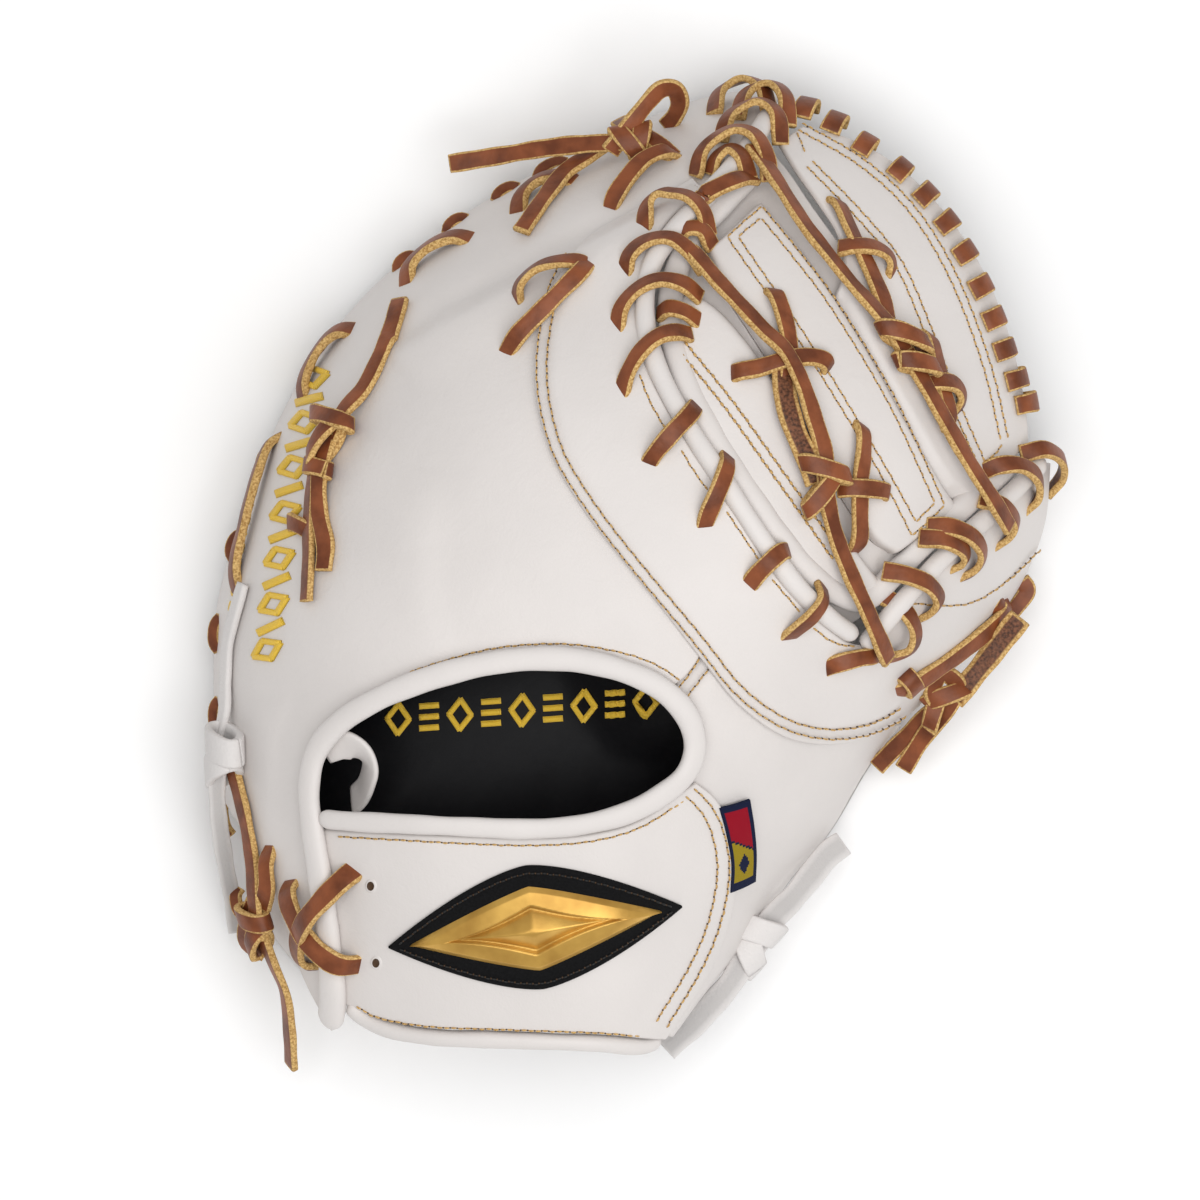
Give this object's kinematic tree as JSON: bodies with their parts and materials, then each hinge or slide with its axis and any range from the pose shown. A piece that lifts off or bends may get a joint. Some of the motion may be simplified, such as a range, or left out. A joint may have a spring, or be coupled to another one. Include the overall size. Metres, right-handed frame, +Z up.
{
  "type": "first baseman mitt",
  "caption": "Leather first baseman mitt with a long padded palm, a laced web of two bars and a rim panel, a wrist strap, and an open back for the hand.",
  "frame": {"origin": "centre of the whole mitt's outline, on the surface that it rests on, palm down", "axes": "+Y from the wrist to the fingertips, +X from the little finger's side to the thumb's side, +Z up out of the back of the hand"},
  "size_m": [0.2576, 0.3002, 0.1061],
  "materials": {
    "white_leather": "smooth white steerhide with a fine grain and a soft sheen",
    "brown_lace": "oiled rawhide lace, russet brown, with golden raw edges",
    "white_thong": "white lace with a fuzzy grey-white split side",
    "black_lining": "smooth black lining leather",
    "patch_felt": "black felt with a stitched edge",
    "gold_emblem": "moulded plate in satin gold",
    "label_cloth": "woven label in plain bands of navy, red and yellow"
  },
  "bodies": {
    "root": {"finger_back": "white_leather", "thumb_back": "white_leather", "index_panel": "white_leather", "wrist_strap": "white_leather", "opening_binding": "white_leather", "strap_lower_binding": "white_leather", "web_welt": "white_leather", "thumb_welt": "white_leather", "palm_shell": "white_leather", "palm_lining": "black_lining", "web_outer_panel": "white_leather", "web_middle_bar": "white_leather", "web_inner_bar": "white_leather", "finger_loop": "white_leather", "side_label": "label_cloth", "strap_patch": "patch_felt", "patch_emblem": "gold_emblem", "crotch_lace": "brown_lace", "thumb_lace": "brown_lace", "fingertip_lace": "brown_lace", "finger_lace": "brown_lace", "web_rim_lace": "brown_lace", "inner_bar_tie": "brown_lace", "middle_bar_tie": "brown_lace", "cross_lace_1": "brown_lace", "cross_lace_2": "brown_lace", "cross_lace_3": "brown_lace", "cross_lace_4": "brown_lace", "strap_cross_lace": "brown_lace", "finger_vee_lace": "brown_lace", "finger_tie": "brown_lace", "fingertip_tie": "brown_lace", "heel_tie": "brown_lace", "thumb_tie": "brown_lace", "little_finger_thong": "white_thong", "thumb_thong": "white_thong", "thumb_edge_tie": "brown_lace"}
  },
  "joints": []
}
